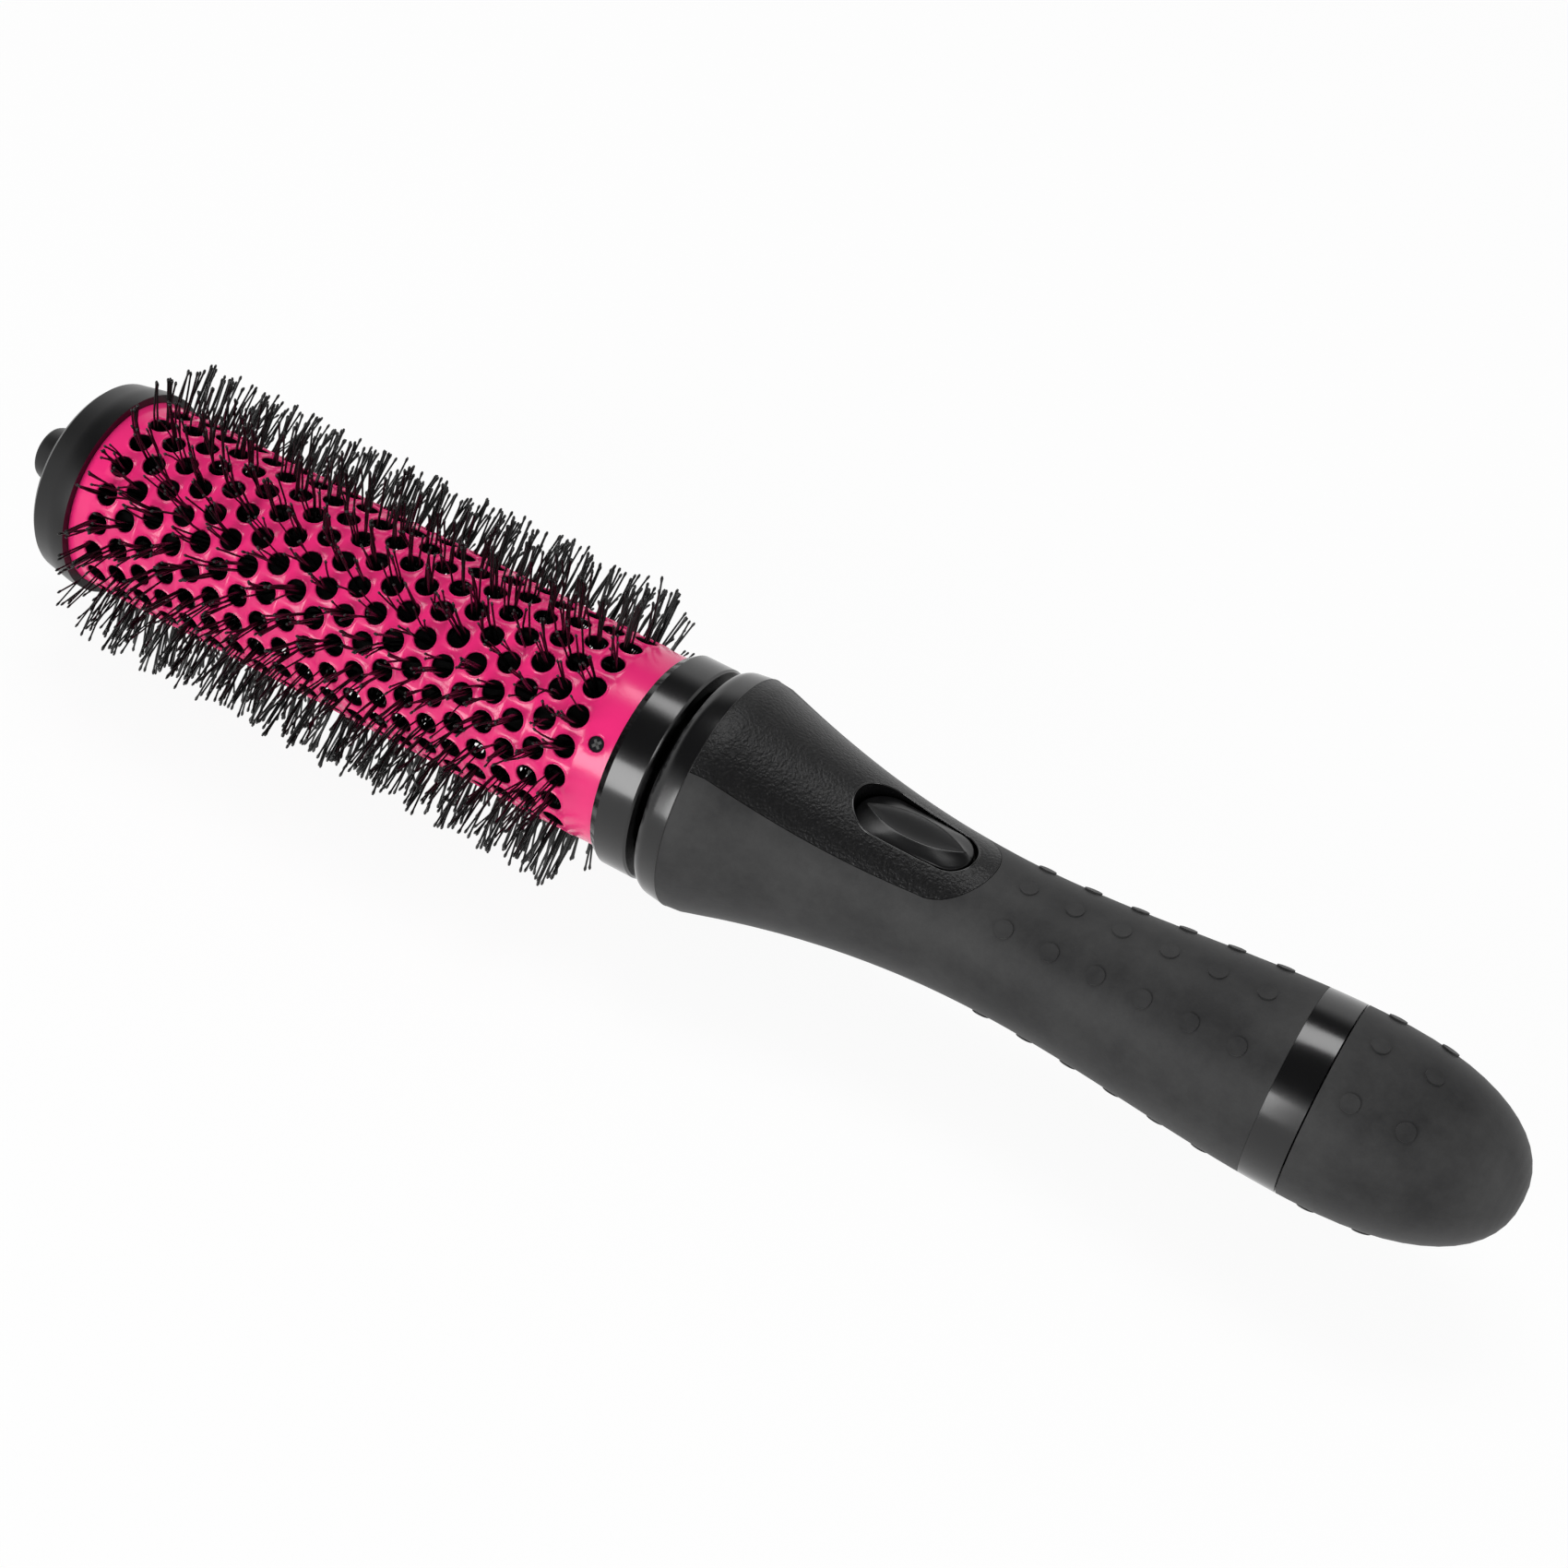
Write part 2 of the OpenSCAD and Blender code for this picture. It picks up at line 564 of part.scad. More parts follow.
boss_xs = [motor_x + boss_in[0], band_x - boss_in[1]];
boss_spots = [for (x = boss_xs, s = [1, -1])
  [x, s * (outer_r(x) - skin - housing_wall - boss_wall_r + 0.4)]];
module housing_shell() difference() {
  union() {
    turned(shell(ring_x1 + run, band_x1, skin, skin + housing_wall));
    tube(band_x - 3, band_x1, bore_r + 1.2, bore_r);
    for (x = rib_xs) tube(x, x + rib_t, min(outer_r(x), outer_r(x + rib_t)) - skin - housing_wall / 2,
      x < motor_end ? motor_d / 2 + run : tube_r + tube_wall + run);
    for (p = boss_spots) translate([p[0], p[1], -boss_h]) cylinder(h = 2 * boss_h, r = boss_wall_r);
  }
  for (p = boss_spots) translate([p[0], p[1], -head_r]) cylinder(h = head_r + boss_h - 1, r = 0.9);
  for (p = boss_spots) translate([p[0], p[1], -head_r]) cylinder(h = head_r - boss_h + 1.5, r = 1.6);
}
module housing_upper() color("#3a3a3d") difference() {
  housing_shell();
  translate([-brush_l, -head_r - cut_over, -head_d]) cube([brush_l + handle_l, head_d + 2 * cut_over, head_d]);
  translate([0, 0, board_low - slip]) linear_extrude(head_d) well_plan(slip);
}
module housing_lower() color("#3a3a3d") difference() {
  housing_shell();
  translate([-brush_l, -head_r - 5, 0]) cube([brush_l + handle_l, head_d + 10, head_d]);
}
module housing_screws() color("silver") for (p = boss_spots) translate([p[0], p[1], 0]) {
  translate([0, 0, -boss_h + 1.4]) cylinder(h = 2 * boss_h - 2.6, r = 0.85);
  translate([0, 0, -boss_h + 0.1]) cylinder(h = 1.39, r = 1.55);
}
module grip_sleeve() color("#2c2c2e") difference() {
  union() {
    turned(shell(ring_x1 + run, band_x - run, 0, grip_t));
    nubs([for (i = [0 : nubs_per_row - 1]) neck_x + 1.8 + i * nub_pitch]);
  }
  linear_extrude(head_d) panel_plan(slip);
}
module switch_panel() color("#232325") difference() {
  union() {
    intersection() {
      turned(shell(ring_x1 + run, neck_x, 0, grip_t));
      linear_extrude(head_d) panel_plan(0);
    }
    intersection() {
      turned(concat(skin_line(ring_x1 + 6, neck_x, grip_t / 2), [[0, neck_x], [0, ring_x1 + 6]]));
      translate([0, 0, board_top]) linear_extrude(head_d) well_plan(0);
    }
  }
  translate([0, 0, well_floor]) linear_extrude(head_d) oval(recess_l, recess_w);
  translate([rocker_x - slot_l / 2, -slot_w / 2, 0]) cube([slot_l, slot_w, head_d]);
  translate([rocker_x, rocker_pin_l / 2, rocker_pivot_z]) rotate([90, 0, 0])
    cylinder(h = rocker_pin_l, r = rocker_pin_r + run);
}
module accent_band() color("#0e0e10") turned(shell(band_x, band_x1, 0, grip_t, 1.5));

// Switch
module rocker_button() color("#161618") difference() {
  union() {
    hull() {
      translate([0, 0, rocker_pivot_z + 0.1]) linear_extrude(rocker_side_h) oval(rocker_l, rocker_w);
      translate([0, 0, rocker_top - 0.1]) linear_extrude(0.1)
        lens(rocker_l - 2 * rocker_bevel, rocker_w - 4 * rocker_bevel);
    }
    translate([rocker_x - 2, -rocker_w / 2 + 1.5, rocker_pivot_z - 0.85]) cube([4, rocker_w - 3, 2]);
    translate([rocker_x - 2, -2.2, rocker_pivot_z - 1.6]) cube([4, 4.4, 2]);
  }
  translate([rocker_x, rocker_w, rocker_pivot_z]) rotate([90, 0, 0])
    cylinder(h = 2 * rocker_w, r = rocker_pin_r + run);
}
module rocker_pin() color("silver") translate([rocker_x, rocker_pin_l / 2 - run, rocker_pivot_z])
  rotate([90, 0, 0]) cylinder(h = rocker_pin_l - 2 * run, r = rocker_pin_r);
module contact_blade() color("goldenrod")
  translate([rocker_x - blade_l / 2, -blade_w / 2, rocker_pivot_z - 1.6 - blade_t])
    cube([blade_l, blade_w, blade_t]);
module switch_board() color("darkgreen") translate([0, 0, board_low])
  linear_extrude(board_t) well_plan(-slip);
module fixed_contacts() color("goldenrod") for (s = [1, -1])
  translate([rocker_x + s * 5 - 0.8, -1.2, board_top]) cube([1.6, 2.4, 0.15]);

// Battery and wiring
module battery_tube() color("#4a4a4d") tube(tube_x0, band_x - 4, tube_r + tube_wall, tube_r);
module cell(x) color("#7d8790") {
  rod(x + 1.2, x + cell_l, cell_d / 2);
  rod(x, x + 1.3, 2.7);
}
module cell_front() cell(cells_x);
module cell_rear() cell(cells_x + cell_l);
module front_contact() color("goldenrod") {
  rod(tube_x0 - tab_t, cells_x, tube_r - slip);
  translate([tube_x0 - tab_t, -2, -5]) cube([tab_t - run, 4, board_low + 5]);
}
module return_strip() color("goldenrod") translate([tube_x0, -2, -tube_r - tube_wall - 0.3])
  cube([5, 4, 0.3]);
module lead(side, terminal, drop) sweep(bend([
  terminal, terminal + [1, side * 0.6, drop], [motor_end + 5, side * 5.5, 6],
  [motor_end + 5.2, side * 4, board_low - 1],
  [motor_end + 5.2, side * 4, board_low - joint_gap]], 4), 0.55, 8);
module lead_red() color("firebrick") lead(1, [motor_end + 3.6, 6.2, 0.9], 1.6);
module lead_black() color("#151515") lead(-1, [motor_end + 3.6, -6.2, 0.9], 1.6);
module return_lead() color("#151515") sweep(bend([[tube_x0 + 1.5, -1.2, -tube_r - tube_wall - 0.85],
  [tube_x0 - 0.9, -3.5, -8.8], [tube_x0 - 1.4, -8.2, -3.8], [tube_x0 - 1.4, -8.6, 2.5],
  [tube_x0 - 1.4, -5, 6.2], [tube_x0 - 1.4, -3.8, board_low - 1.2],
  [tube_x0 - 1.4, -3.8, board_low - joint_gap]], 4), 0.5, 8);

// Screwed battery cap
module battery_cap() color("#3a3a3d") difference() {
  turned(concat([[skirt_r - skirt_t, cap_x - skirt_l], [skirt_r, cap_x - skirt_l], [skirt_r, cap_x]],
    skin_line(cap_x, bulge_x - 0.5, skin, 2), dome(skin), [[0, handle_l - skin - housing_wall]],
    backwards(dome(skin + housing_wall)),
    [[bulge_r - skin - housing_wall, cap_x + 1.4], [skirt_r - skirt_t, cap_x + 1.4]]));
  along_x() rotate_extrude() translate([skirt_r, cap_x - 1.6]) circle(r = seal_r + run, $fn = 32);
}
module cap_cover() color("#2c2c2e") union() {
  turned(concat(skin_line(cap_x, bulge_x - 0.5, 0, 2), dome(0), [[0, handle_l - grip_t]],
    backwards(dome(grip_t)), backwards(skin_line(cap_x, bulge_x - 0.5, grip_t, 2))));
  nubs([for (x = cap_nubs_in) bulge_x + x]);
}
module cap_seal() color("#101010") along_x() rotate_extrude() translate([skirt_r - 0.3, cap_x - 1.6])
  circle(r = seal_r - 0.25, $fn = 32);
module cap_contact() color("goldenrod") rod(cap_plate_x, cap_plate_x + cap_plate_t, cap_plate_r);
coil = [for (i = [0 : 16 * spring_turns]) let(t = i / (16 * spring_turns))
  [cells_end + spring_wire + 0.2 + (spring_l - 2 * spring_wire) * t,
   (3 + 2 * t) * cos(22.5 * i), (3 + 2 * t) * sin(22.5 * i)]];
module cap_spring() color("silver") sweep(coil, spring_wire, 6);
echo("least gap of the spring to itself, mm",
  min([for (i = [0 : len(coil) - 9], j = [i + 8 : len(coil) - 1]) norm(coil[i] - coil[j])])
  - 2 * spring_wire);

place() {
  barrel();
  tip_cap();
  root_collar();
  bristle_core();
  bristle_strips_a();
  bristle_strips_b();
  bristle_strips_c();
  bristle_strips_d();
  barrel_screws();
  output_carrier();
  hub_screw();
  knob_pin();
  tip_knob();
  head_ring();
  housing_upper();
  housing_lower();
  housing_screws();
  grip_sleeve();
  switch_panel();
  accent_band();
  gearbox_case();
  gearbox_cover();
  gearbox_screws();
  output_bush();
  motor_can();
  motor_end_bell();
  rotor();
  sun_pinion();
  stage_carrier();
  planet_1a();
  planet_1b();
  planet_1c();
  planet_2a();
  planet_2b();
  planet_2c();
  rocker_button();
  rocker_pin();
  contact_blade();
  switch_board();
  fixed_contacts();
  battery_tube();
  cell_front();
  cell_rear();
  front_contact();
  return_strip();
  lead_red();
  lead_black();
  return_lead();
  battery_cap();
  cap_cover();
  cap_seal();
  cap_contact();
  cap_spring();
}
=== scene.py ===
# %% [markdown]
# # A spinning round brush, dressed over its CAD frame
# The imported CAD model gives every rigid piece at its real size. This lesson adds what a CAD solid can't show:
# moulded finishes, the rounded lips of the vent holes, the soft edges of the rocker and the tufts of nylon
# filament. Blender works in metres, so sizes in millimetres are multiplied by MM. The frame is the CAD one:
# X along the brush, tip at -X, rocker switch facing +Z.

# %% Load the frame
import json
import math
import random

import bpy
import bmesh
from mathutils import Matrix, Vector


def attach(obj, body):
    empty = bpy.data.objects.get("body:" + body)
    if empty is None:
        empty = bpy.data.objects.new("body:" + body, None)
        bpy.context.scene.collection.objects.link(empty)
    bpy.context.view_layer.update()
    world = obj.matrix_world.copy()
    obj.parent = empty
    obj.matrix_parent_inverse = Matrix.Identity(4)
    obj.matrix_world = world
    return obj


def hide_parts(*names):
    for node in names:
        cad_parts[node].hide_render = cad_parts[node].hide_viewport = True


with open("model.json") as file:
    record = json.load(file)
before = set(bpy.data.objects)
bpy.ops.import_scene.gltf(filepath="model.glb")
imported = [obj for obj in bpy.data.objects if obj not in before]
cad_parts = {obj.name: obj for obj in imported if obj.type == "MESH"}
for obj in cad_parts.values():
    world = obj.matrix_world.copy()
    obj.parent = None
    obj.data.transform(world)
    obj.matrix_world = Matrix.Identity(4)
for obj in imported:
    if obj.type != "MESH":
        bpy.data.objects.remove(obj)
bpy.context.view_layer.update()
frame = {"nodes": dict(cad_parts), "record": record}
nodes = frame["nodes"]
MM = 0.001
print("frame loaded:", len(nodes), "nodes")

# %% [markdown]
# ## Camera
# The photograph looks down on the brush from the switch side, from about half a metre away. Its direction was
# worked out from the ellipses of the round rings, so the camera is placed by its axes and not by aiming it at a
# point. The columns of a camera's matrix are its right, its up and its backward direction.

# %% Camera
SENSOR, LENS = 36, 63.07
RIGHT, UP = Vector((0.85615, 0.50188, 0.12297)), Vector((-0.4315, 0.56349, 0.70447))
PLACE = Vector((0.15139, -0.32231, 0.35297))
scene = bpy.context.scene
camera_data = bpy.data.cameras.new("camera")
camera_data.sensor_width, camera_data.lens = SENSOR, LENS
camera = bpy.data.objects.new("camera", camera_data)
scene.collection.objects.link(camera)
axes = Matrix((RIGHT, UP, RIGHT.cross(UP))).transposed()
camera.matrix_world = Matrix.Translation(PLACE) @ axes.to_4x4()
scene.camera = camera
scene.view_settings.view_transform = "Standard"
print("camera at", [round(v, 3) for v in PLACE])

# %% [markdown]
# ## Finishes
# Colours are written as the sRGB hex values that a colour picker shows, and Blender's shaders want linear light,
# so one function turns the one into the other. Another adds a node with its settings and links, which keeps each
# material short enough to read as a recipe, and a third starts a material on the Principled shader. Patterns are
# given by a real size in millimetres, and a texture's scale is how many of them go into a metre.

# %% Helpers for nodes
def linear(hex_colour):
    channels = [int(hex_colour[i:i + 2], 16) / 255 for i in (1, 3, 5)]
    return tuple(c / 12.92 if c <= 0.04045 else ((c + 0.055) / 1.055) ** 2.4 for c in channels) + (1.0,)


def add_node(tree, kind, links=None, **settings):
    node = tree.nodes.new(kind)
    for key, value in settings.items():
        if key in node.inputs:
            node.inputs[key].default_value = value
        else:
            setattr(node, key, value)
    for socket, source in (links or {}).items():
        tree.links.new(source, node.inputs[socket])
    return node


print("middle grey in linear light:", round(linear("#808080")[0], 3))


# %% Helpers for materials
def start_material(name, colour, roughness, shine=0.5, metallic=0.0):
    material = bpy.data.materials.new(name)
    material.use_nodes = True
    shader = material.node_tree.nodes["Principled BSDF"]
    shader.inputs["Base Color"].default_value = linear(colour)
    shader.inputs["Roughness"].default_value = roughness
    shader.inputs["Specular IOR Level"].default_value = shine
    shader.inputs["Metallic"].default_value = metallic
    where = add_node(material.node_tree, "ShaderNodeTexCoord").outputs["Object"]
    return material, material.node_tree, shader, where


def per_metre(size_mm):
    return 1 / (size_mm * MM)


finishes = {}
print("texture scale for a 12 mm wave:", round(per_metre(12), 1))

# %% [markdown]
# ### Glossy pink ABS
# The barrel is injection-moulded ABS in a bright pink. Polished ABS mirrors the lamps sharply, and a moulding is
# never quite flat, so slow waves about 12 mm long bend the highlights a little.

# %% Pink ABS
def pink_abs():
    material, tree, shader, where = start_material("pink_abs_polished", "#EE2A78", roughness=0.2, shine=0.4)
    waves = add_node(tree, "ShaderNodeTexNoise", {"Vector": where}, Scale=per_metre(12), Detail=1.0)
    bump = add_node(tree, "ShaderNodeBump", {"Height": waves.outputs["Fac"]}, Strength=0.08, Distance=0.4 * MM)
    tree.links.new(bump.outputs["Normal"], shader.inputs["Normal"])
    return material


finishes["pink_gloss_plastic"] = pink_abs()
print("made", finishes["pink_gloss_plastic"].name)

# %% [markdown]
# ### Plain mouldings
# The rings are polished black ABS, and the tip cap has a finer, satin finish. The same recipe serves every plain
# plastic: its roughness varies a little over 6 mm, as handled plastic does, and a grain breaks the highlight. The
# real grain is finer than a pixel, so it is drawn about half a millimetre wide.

# %% Plain mouldings
WEAR_MM = 6


def moulding(name, colour, roughness, spread, grain_mm, depth_mm, shine=0.5):
    material, tree, shader, where = start_material(name, colour, roughness, shine)
    wear = add_node(tree, "ShaderNodeTexNoise", {"Vector": where}, Scale=per_metre(WEAR_MM), Detail=3.0)
    worn = add_node(tree, "ShaderNodeMapRange", {"Value": wear.outputs["Fac"]},
                    **{"To Min": roughness - spread, "To Max": roughness + spread})
    tree.links.new(worn.outputs["Result"], shader.inputs["Roughness"])
    grain = add_node(tree, "ShaderNodeTexNoise", {"Vector": where}, Scale=per_metre(grain_mm), Detail=2.0)
    bump = add_node(tree, "ShaderNodeBump", {"Height": grain.outputs["Fac"]}, Strength=0.5, Distance=depth_mm * MM)
    tree.links.new(bump.outputs["Normal"], shader.inputs["Normal"])
    return material


# Slot: name, colour, roughness and its spread, size and depth of the grain in mm, shine
MOULDINGS = {
    "black_gloss_plastic": ("black_abs_polished", "#080809", 0.17, 0.04, 0.6, 0.004, 0.55),
    "black_satin_plastic": ("black_abs_satin", "#09090A", 0.32, 0.05, 0.4, 0.01, 0.34),
    "grey_plastic": ("grey_abs_moulded", "#6A6A6C", 0.5, 0.05, 0.5, 0.02),
    "white_plastic": ("acetal_natural", "#E6E4DC", 0.4, 0.05, 0.5, 0.01),
    "black_nylon": ("nylon_filament", "#050505", 0.28, 0.05, 0.5, 0.01, 0.4),
    "green_board": ("board_laminate", "#1D6B36", 0.45, 0.05, 0.4, 0.01),
    "red_lead": ("lead_insulation_red", "#B3201B", 0.45, 0.05, 0.5, 0.01),
    "black_lead": ("lead_insulation_black", "#1A1A1A", 0.45, 0.05, 0.5, 0.01),
    "cell_jacket": ("cell_wrapper", "#7D8790", 0.35, 0.05, 0.8, 0.01),
}
for slot, recipe in MOULDINGS.items():
    finishes[slot] = moulding(*recipe)
print("made", len(MOULDINGS), "plain mouldings")

# %% [markdown]
# ### Leather-grained ABS
# The switch panel is moulded with a leather-like grain: small rounded cells with creases between them. Voronoi
# cells about 0.5 mm across give the pebbles, and a finer noise breaks them up.

# %% Grained ABS
def grained_abs():
    material, tree, shader, where = start_material("black_abs_leather_grain", "#09090A", 0.37, 0.29)
    cells = add_node(tree, "ShaderNodeTexVoronoi", {"Vector": where}, Scale=per_metre(0.55), feature="SMOOTH_F1")
    fine = add_node(tree, "ShaderNodeTexNoise", {"Vector": where}, Scale=per_metre(0.3), Detail=3.0)
    both = add_node(tree, "ShaderNodeMath", {0: fine.outputs["Fac"], 1: cells.outputs["Distance"]},
                    operation="SUBTRACT")
    bump = add_node(tree, "ShaderNodeBump", {"Height": both.outputs["Value"]}, Strength=0.75, Distance=0.12 * MM)
    tree.links.new(bump.outputs["Normal"], shader.inputs["Normal"])
    return material


finishes["black_grained_plastic"] = grained_abs()
print("made", finishes["black_grained_plastic"].name)

# %% [markdown]
# ### Soft-touch rubber
# The grip is thermoplastic rubber. It is matte because its skin is finely rough, it shows a pale sheen at the
# edges, and dust and handling leave cloudy marks from a few millimetres to a few centimetres across. One noise
# with many octaves gives marks of all those sizes, and it tints the colour and the roughness together.

# %% Grip rubber
CLEAN, DUSTY = (0.36, "#1A1A1B"), (0.7, "#363636")


def grip_rubber():
    material, tree, shader, where = start_material("grip_rubber_moulded", "#242424", roughness=0.6, shine=0.3)
    shader.inputs["Sheen Weight"].default_value = 0.06
    shader.inputs["Sheen Roughness"].default_value = 0.5
    marks = add_node(tree, "ShaderNodeTexNoise", {"Vector": where}, Scale=per_metre(18), Detail=7.0, Roughness=0.68)
    tint = add_node(tree, "ShaderNodeValToRGB", {"Fac": marks.outputs["Fac"]})
    for stop, (position, colour) in zip(tint.color_ramp.elements, (CLEAN, DUSTY)):
        stop.position, stop.color = position, linear(colour)
    tree.links.new(tint.outputs["Color"], shader.inputs["Base Color"])
    worn = add_node(tree, "ShaderNodeMapRange", {"Value": marks.outputs["Fac"]}, **{"To Min": 0.5, "To Max": 0.72})
    tree.links.new(worn.outputs["Result"], shader.inputs["Roughness"])
    skin = add_node(tree, "ShaderNodeTexNoise", {"Vector": where}, Scale=per_metre(0.35), Detail=2.0)
    bump = add_node(tree, "ShaderNodeBump", {"Height": skin.outputs["Fac"]}, Strength=0.3, Distance=0.06 * MM)
    tree.links.new(bump.outputs["Normal"], shader.inputs["Normal"])
    return material


finishes["grip_rubber"] = grip_rubber()
print("made", finishes["grip_rubber"].name)

# %% [markdown]
# ### Metals
# Screws, pins and the motor are bright steel, and the contacts and the bush are bronze. Turning and rolling leave
# fine marks, so the roughness of the metals varies over a third of a millimetre.

# %% Metals
METAL_GRAIN_MM, SMOOTHER, ROUGHER = 0.3, 0.08, 0.1


def worked_metal(name, colour, roughness):
    material, tree, shader, where = start_material(name, colour, roughness, metallic=1.0)
    grain = add_node(tree, "ShaderNodeTexNoise", {"Vector": where}, Scale=per_metre(METAL_GRAIN_MM), Detail=4.0)
    worked = add_node(tree, "ShaderNodeMapRange", {"Value": grain.outputs["Fac"]},
                      **{"To Min": roughness - SMOOTHER, "To Max": roughness + ROUGHER})
    tree.links.new(worked.outputs["Result"], shader.inputs["Roughness"])
    return material


finishes["steel"] = worked_metal("steel_turned", "#C4C5C8", 0.3)
finishes["bronze"] = worked_metal("bronze_rolled", "#C79A5B", 0.32)
print("made", finishes["steel"].name, "and", finishes["bronze"].name)

# %% [markdown]
# ### Give each piece its finish
# The record names a material slot for every piece, and the slot's finish goes on it. Two pieces differ from their
# slot: the screws that show in the barrel are blackened, and the core behind the holes is matte, so that it
# doesn't shine out of them.

# %% Give each piece its finish
for entry in frame["record"]["subparts"]:
    solid = nodes[entry["node"]]
    solid.data.materials.clear()
    solid.data.materials.append(finishes[entry["material_slot"]])
exceptions = {
    "barrel_screws": worked_metal("steel_blackened", "#0F0F11", 0.34),
    "bristle_core": moulding("nylon_core_matte", "#040404", 0.7, 0.05, 0.5, 0.01, 0.1),
}
for name, finish in exceptions.items():
    nodes[name].data.materials[0] = finish
print("finishes:", len(finishes) + len(exceptions))

# %% [markdown]
# ## Smooth shading of the turned solids
# The CAD outline is a run of short cones. Weld joins their shared edges, and an edge split at 28 degrees keeps
# real edges crisp while the cones shade as one smooth curve. Both are modifiers, so the CAD mesh itself stays as
# it is.

# %% Smooth the turned pieces
TURNED = ("grip_sleeve", "switch_panel", "cap_cover", "accent_band", "head_ring", "root_collar", "tip_cap",
          "tip_knob")
SHARP_DEGREES, SAME_POINT = 28, 1e-6


def smooth_turned(solid):
    if "custom_normal" in solid.data.attributes:
        solid.data.attributes.remove(solid.data.attributes["custom_normal"])
    solid.data.shade_smooth()
    solid.modifiers.new("join_edges", "WELD").merge_threshold = SAME_POINT
    solid.modifiers.new("keep_edges", "EDGE_SPLIT").split_angle = math.radians(SHARP_DEGREES)


for name in TURNED:
    smooth_turned(nodes[name])
print("smoothed", len(TURNED), "turned pieces")

# %% [markdown]
# ## Making a new piece
# Every piece made here goes the same way: points and faces into a mesh, the mesh into an object with one finish,
# and the object onto the moving body that carries it. Most shapes are loops of points, one after another, with
# a strip of faces between each loop and the next.

# %% Helpers for pieces
def turns(count):
    return [2 * math.pi * i / count for i in range(count)]


def join_loops(mesh, loops, painted_shade_from=None):
    for row, (first, second) in enumerate(zip(loops, loops[1:])):
        for i in range(len(first)):
            j = (i + 1) % len(first)
            face = mesh.faces.new((first[i], second[i], second[j], first[j]))
            # Strips from the given one on take the second finish, black: painted shade inside the holes.
            face.material_index = int(painted_shade_from is not None and row >= painted_shade_from)


def finish_piece(mesh, name, slot, body, replaced=None, split=None, finish=None):
    data = bpy.data.meshes.new(name)
    mesh.to_mesh(data)
    mesh.free()
    data.shade_smooth()
    data.materials.append(finish or finishes[slot])
    piece = bpy.data.objects.new(name, data)
    scene.collection.objects.link(piece)
    if split:
        piece.modifiers.new("keep_edges", "EDGE_SPLIT").split_angle = math.radians(split)
    if replaced:
        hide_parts(replaced)
    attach(piece, body)
    print(name, "has", len(data.vertices), "points")
    return piece


# %% [markdown]
# ## Vented barrel
# Each vent hole has a rounded, slightly raised lip that catches the light. Cutting 400 holes with booleans would
# leave ragged edges, so the barrel is built from cells, one to a hole: a patch of the cylinder 18 degrees wide
# and one ring pitch long. Neighbouring rings are turned by half a cell, and eight steps along each cell's edge
# make the corners of all the cells meet, so they weld into one skin. Below the lip the wall of the hole and the
# inside of its cell are black: painted shade, standing in for the dark inside of the barrel. One more ring of
# cells next to the collar is plain but for its two screw holes.

# %% Sizes of the barrel
ORIGIN = 6.25  # the frame's origin, along the X of the CAD source
HOLES, RINGS, PITCH = 20, 20, 5.53
BARREL_R, BARREL_IN, HOLE_R, SCREW_HOLE_R = 19.3, 18.1, 2.2, 1.5
BARREL_ENDS = (-136.3, -3.05)
LAST_RING = -18.35
FIRST_RING = LAST_RING - (RINGS - 1) * PITCH
STEP = 360 / HOLES
SCREW_RING, SCREW_CELLS = RINGS, (3, 13)
ACROSS, ALONG = 8, 4  # steps on a cell's edges
# A hole's lip, as distance out from the hole's edge and height over the skin
HOLE_LIP = ((0.52, 0.0), (0.4, 0.07), (0.29, 0.16), (0.18, 0.18), (0.08, 0.08), (0.01, -0.12), (0, -0.35),
            (0, BARREL_IN - BARREL_R))
# The black below each lip is painted shade; this is the strip where it starts.
SHADE_PAINTED_FROM = 6  # the strip of faces where the black lining starts


def on_barrel(x, degrees, radius):
    a = math.radians(degrees)
    return Vector(((x - ORIGIN) * MM, -radius * math.sin(a) * MM, radius * math.cos(a) * MM))


def ring_turn(ring):
    return (1 if (RINGS - 1 - ring) % 2 == 0 else -1) * STEP / 4


print("rings of holes from", round(FIRST_RING, 2), "to", LAST_RING, "mm")


# %% Cells with a hole and plain patches
def cell_edge():
    across = [(-PITCH / 2, -STEP / 2 + STEP * i / ACROSS) for i in range(ACROSS)]
    along = [(-PITCH / 2 + PITCH * i / ALONG, STEP / 2) for i in range(ALONG)]
    return across + along + [(-x, -a) for x, a in across + along]


def hole_loop(radius, edge):
    per_degree = math.radians(1) * BARREL_R
    towards = [math.atan2(a * per_degree, x) for x, a in edge]
    return [(radius * math.cos(t), radius * math.sin(t) / per_degree) for t in towards]


def add_cell(mesh, x0, a0, hole_r):
    edge = cell_edge()
    rows = [(edge, BARREL_R)]
    rows += [(hole_loop(hole_r + out, edge), BARREL_R + rise) for out, rise in HOLE_LIP]
    rows.append((edge, BARREL_IN))
    loops = [[mesh.verts.new(on_barrel(x0 + x, a0 + a, r)) for x, a in row] for row, r in rows]
    join_loops(mesh, loops, SHADE_PAINTED_FROM)


def add_patch(mesh, x0, x1, a0, radius):
    angles = [a0 - STEP / 2 + STEP * j / ACROSS for j in range(ACROSS + 1)]
    places = [x0 + (x1 - x0) * i / ALONG for i in range(ALONG + 1)]
    grid = [[mesh.verts.new(on_barrel(x, a, radius)) for a in angles] for x in places]
    for near, far in zip(grid, grid[1:]):
        for j in range(ACROSS):
            mesh.faces.new((near[j], far[j], far[j + 1], near[j + 1]))


print("points around a cell:", len(cell_edge()))


# %% Build the barrel
WELD_DISTANCE = 2e-6


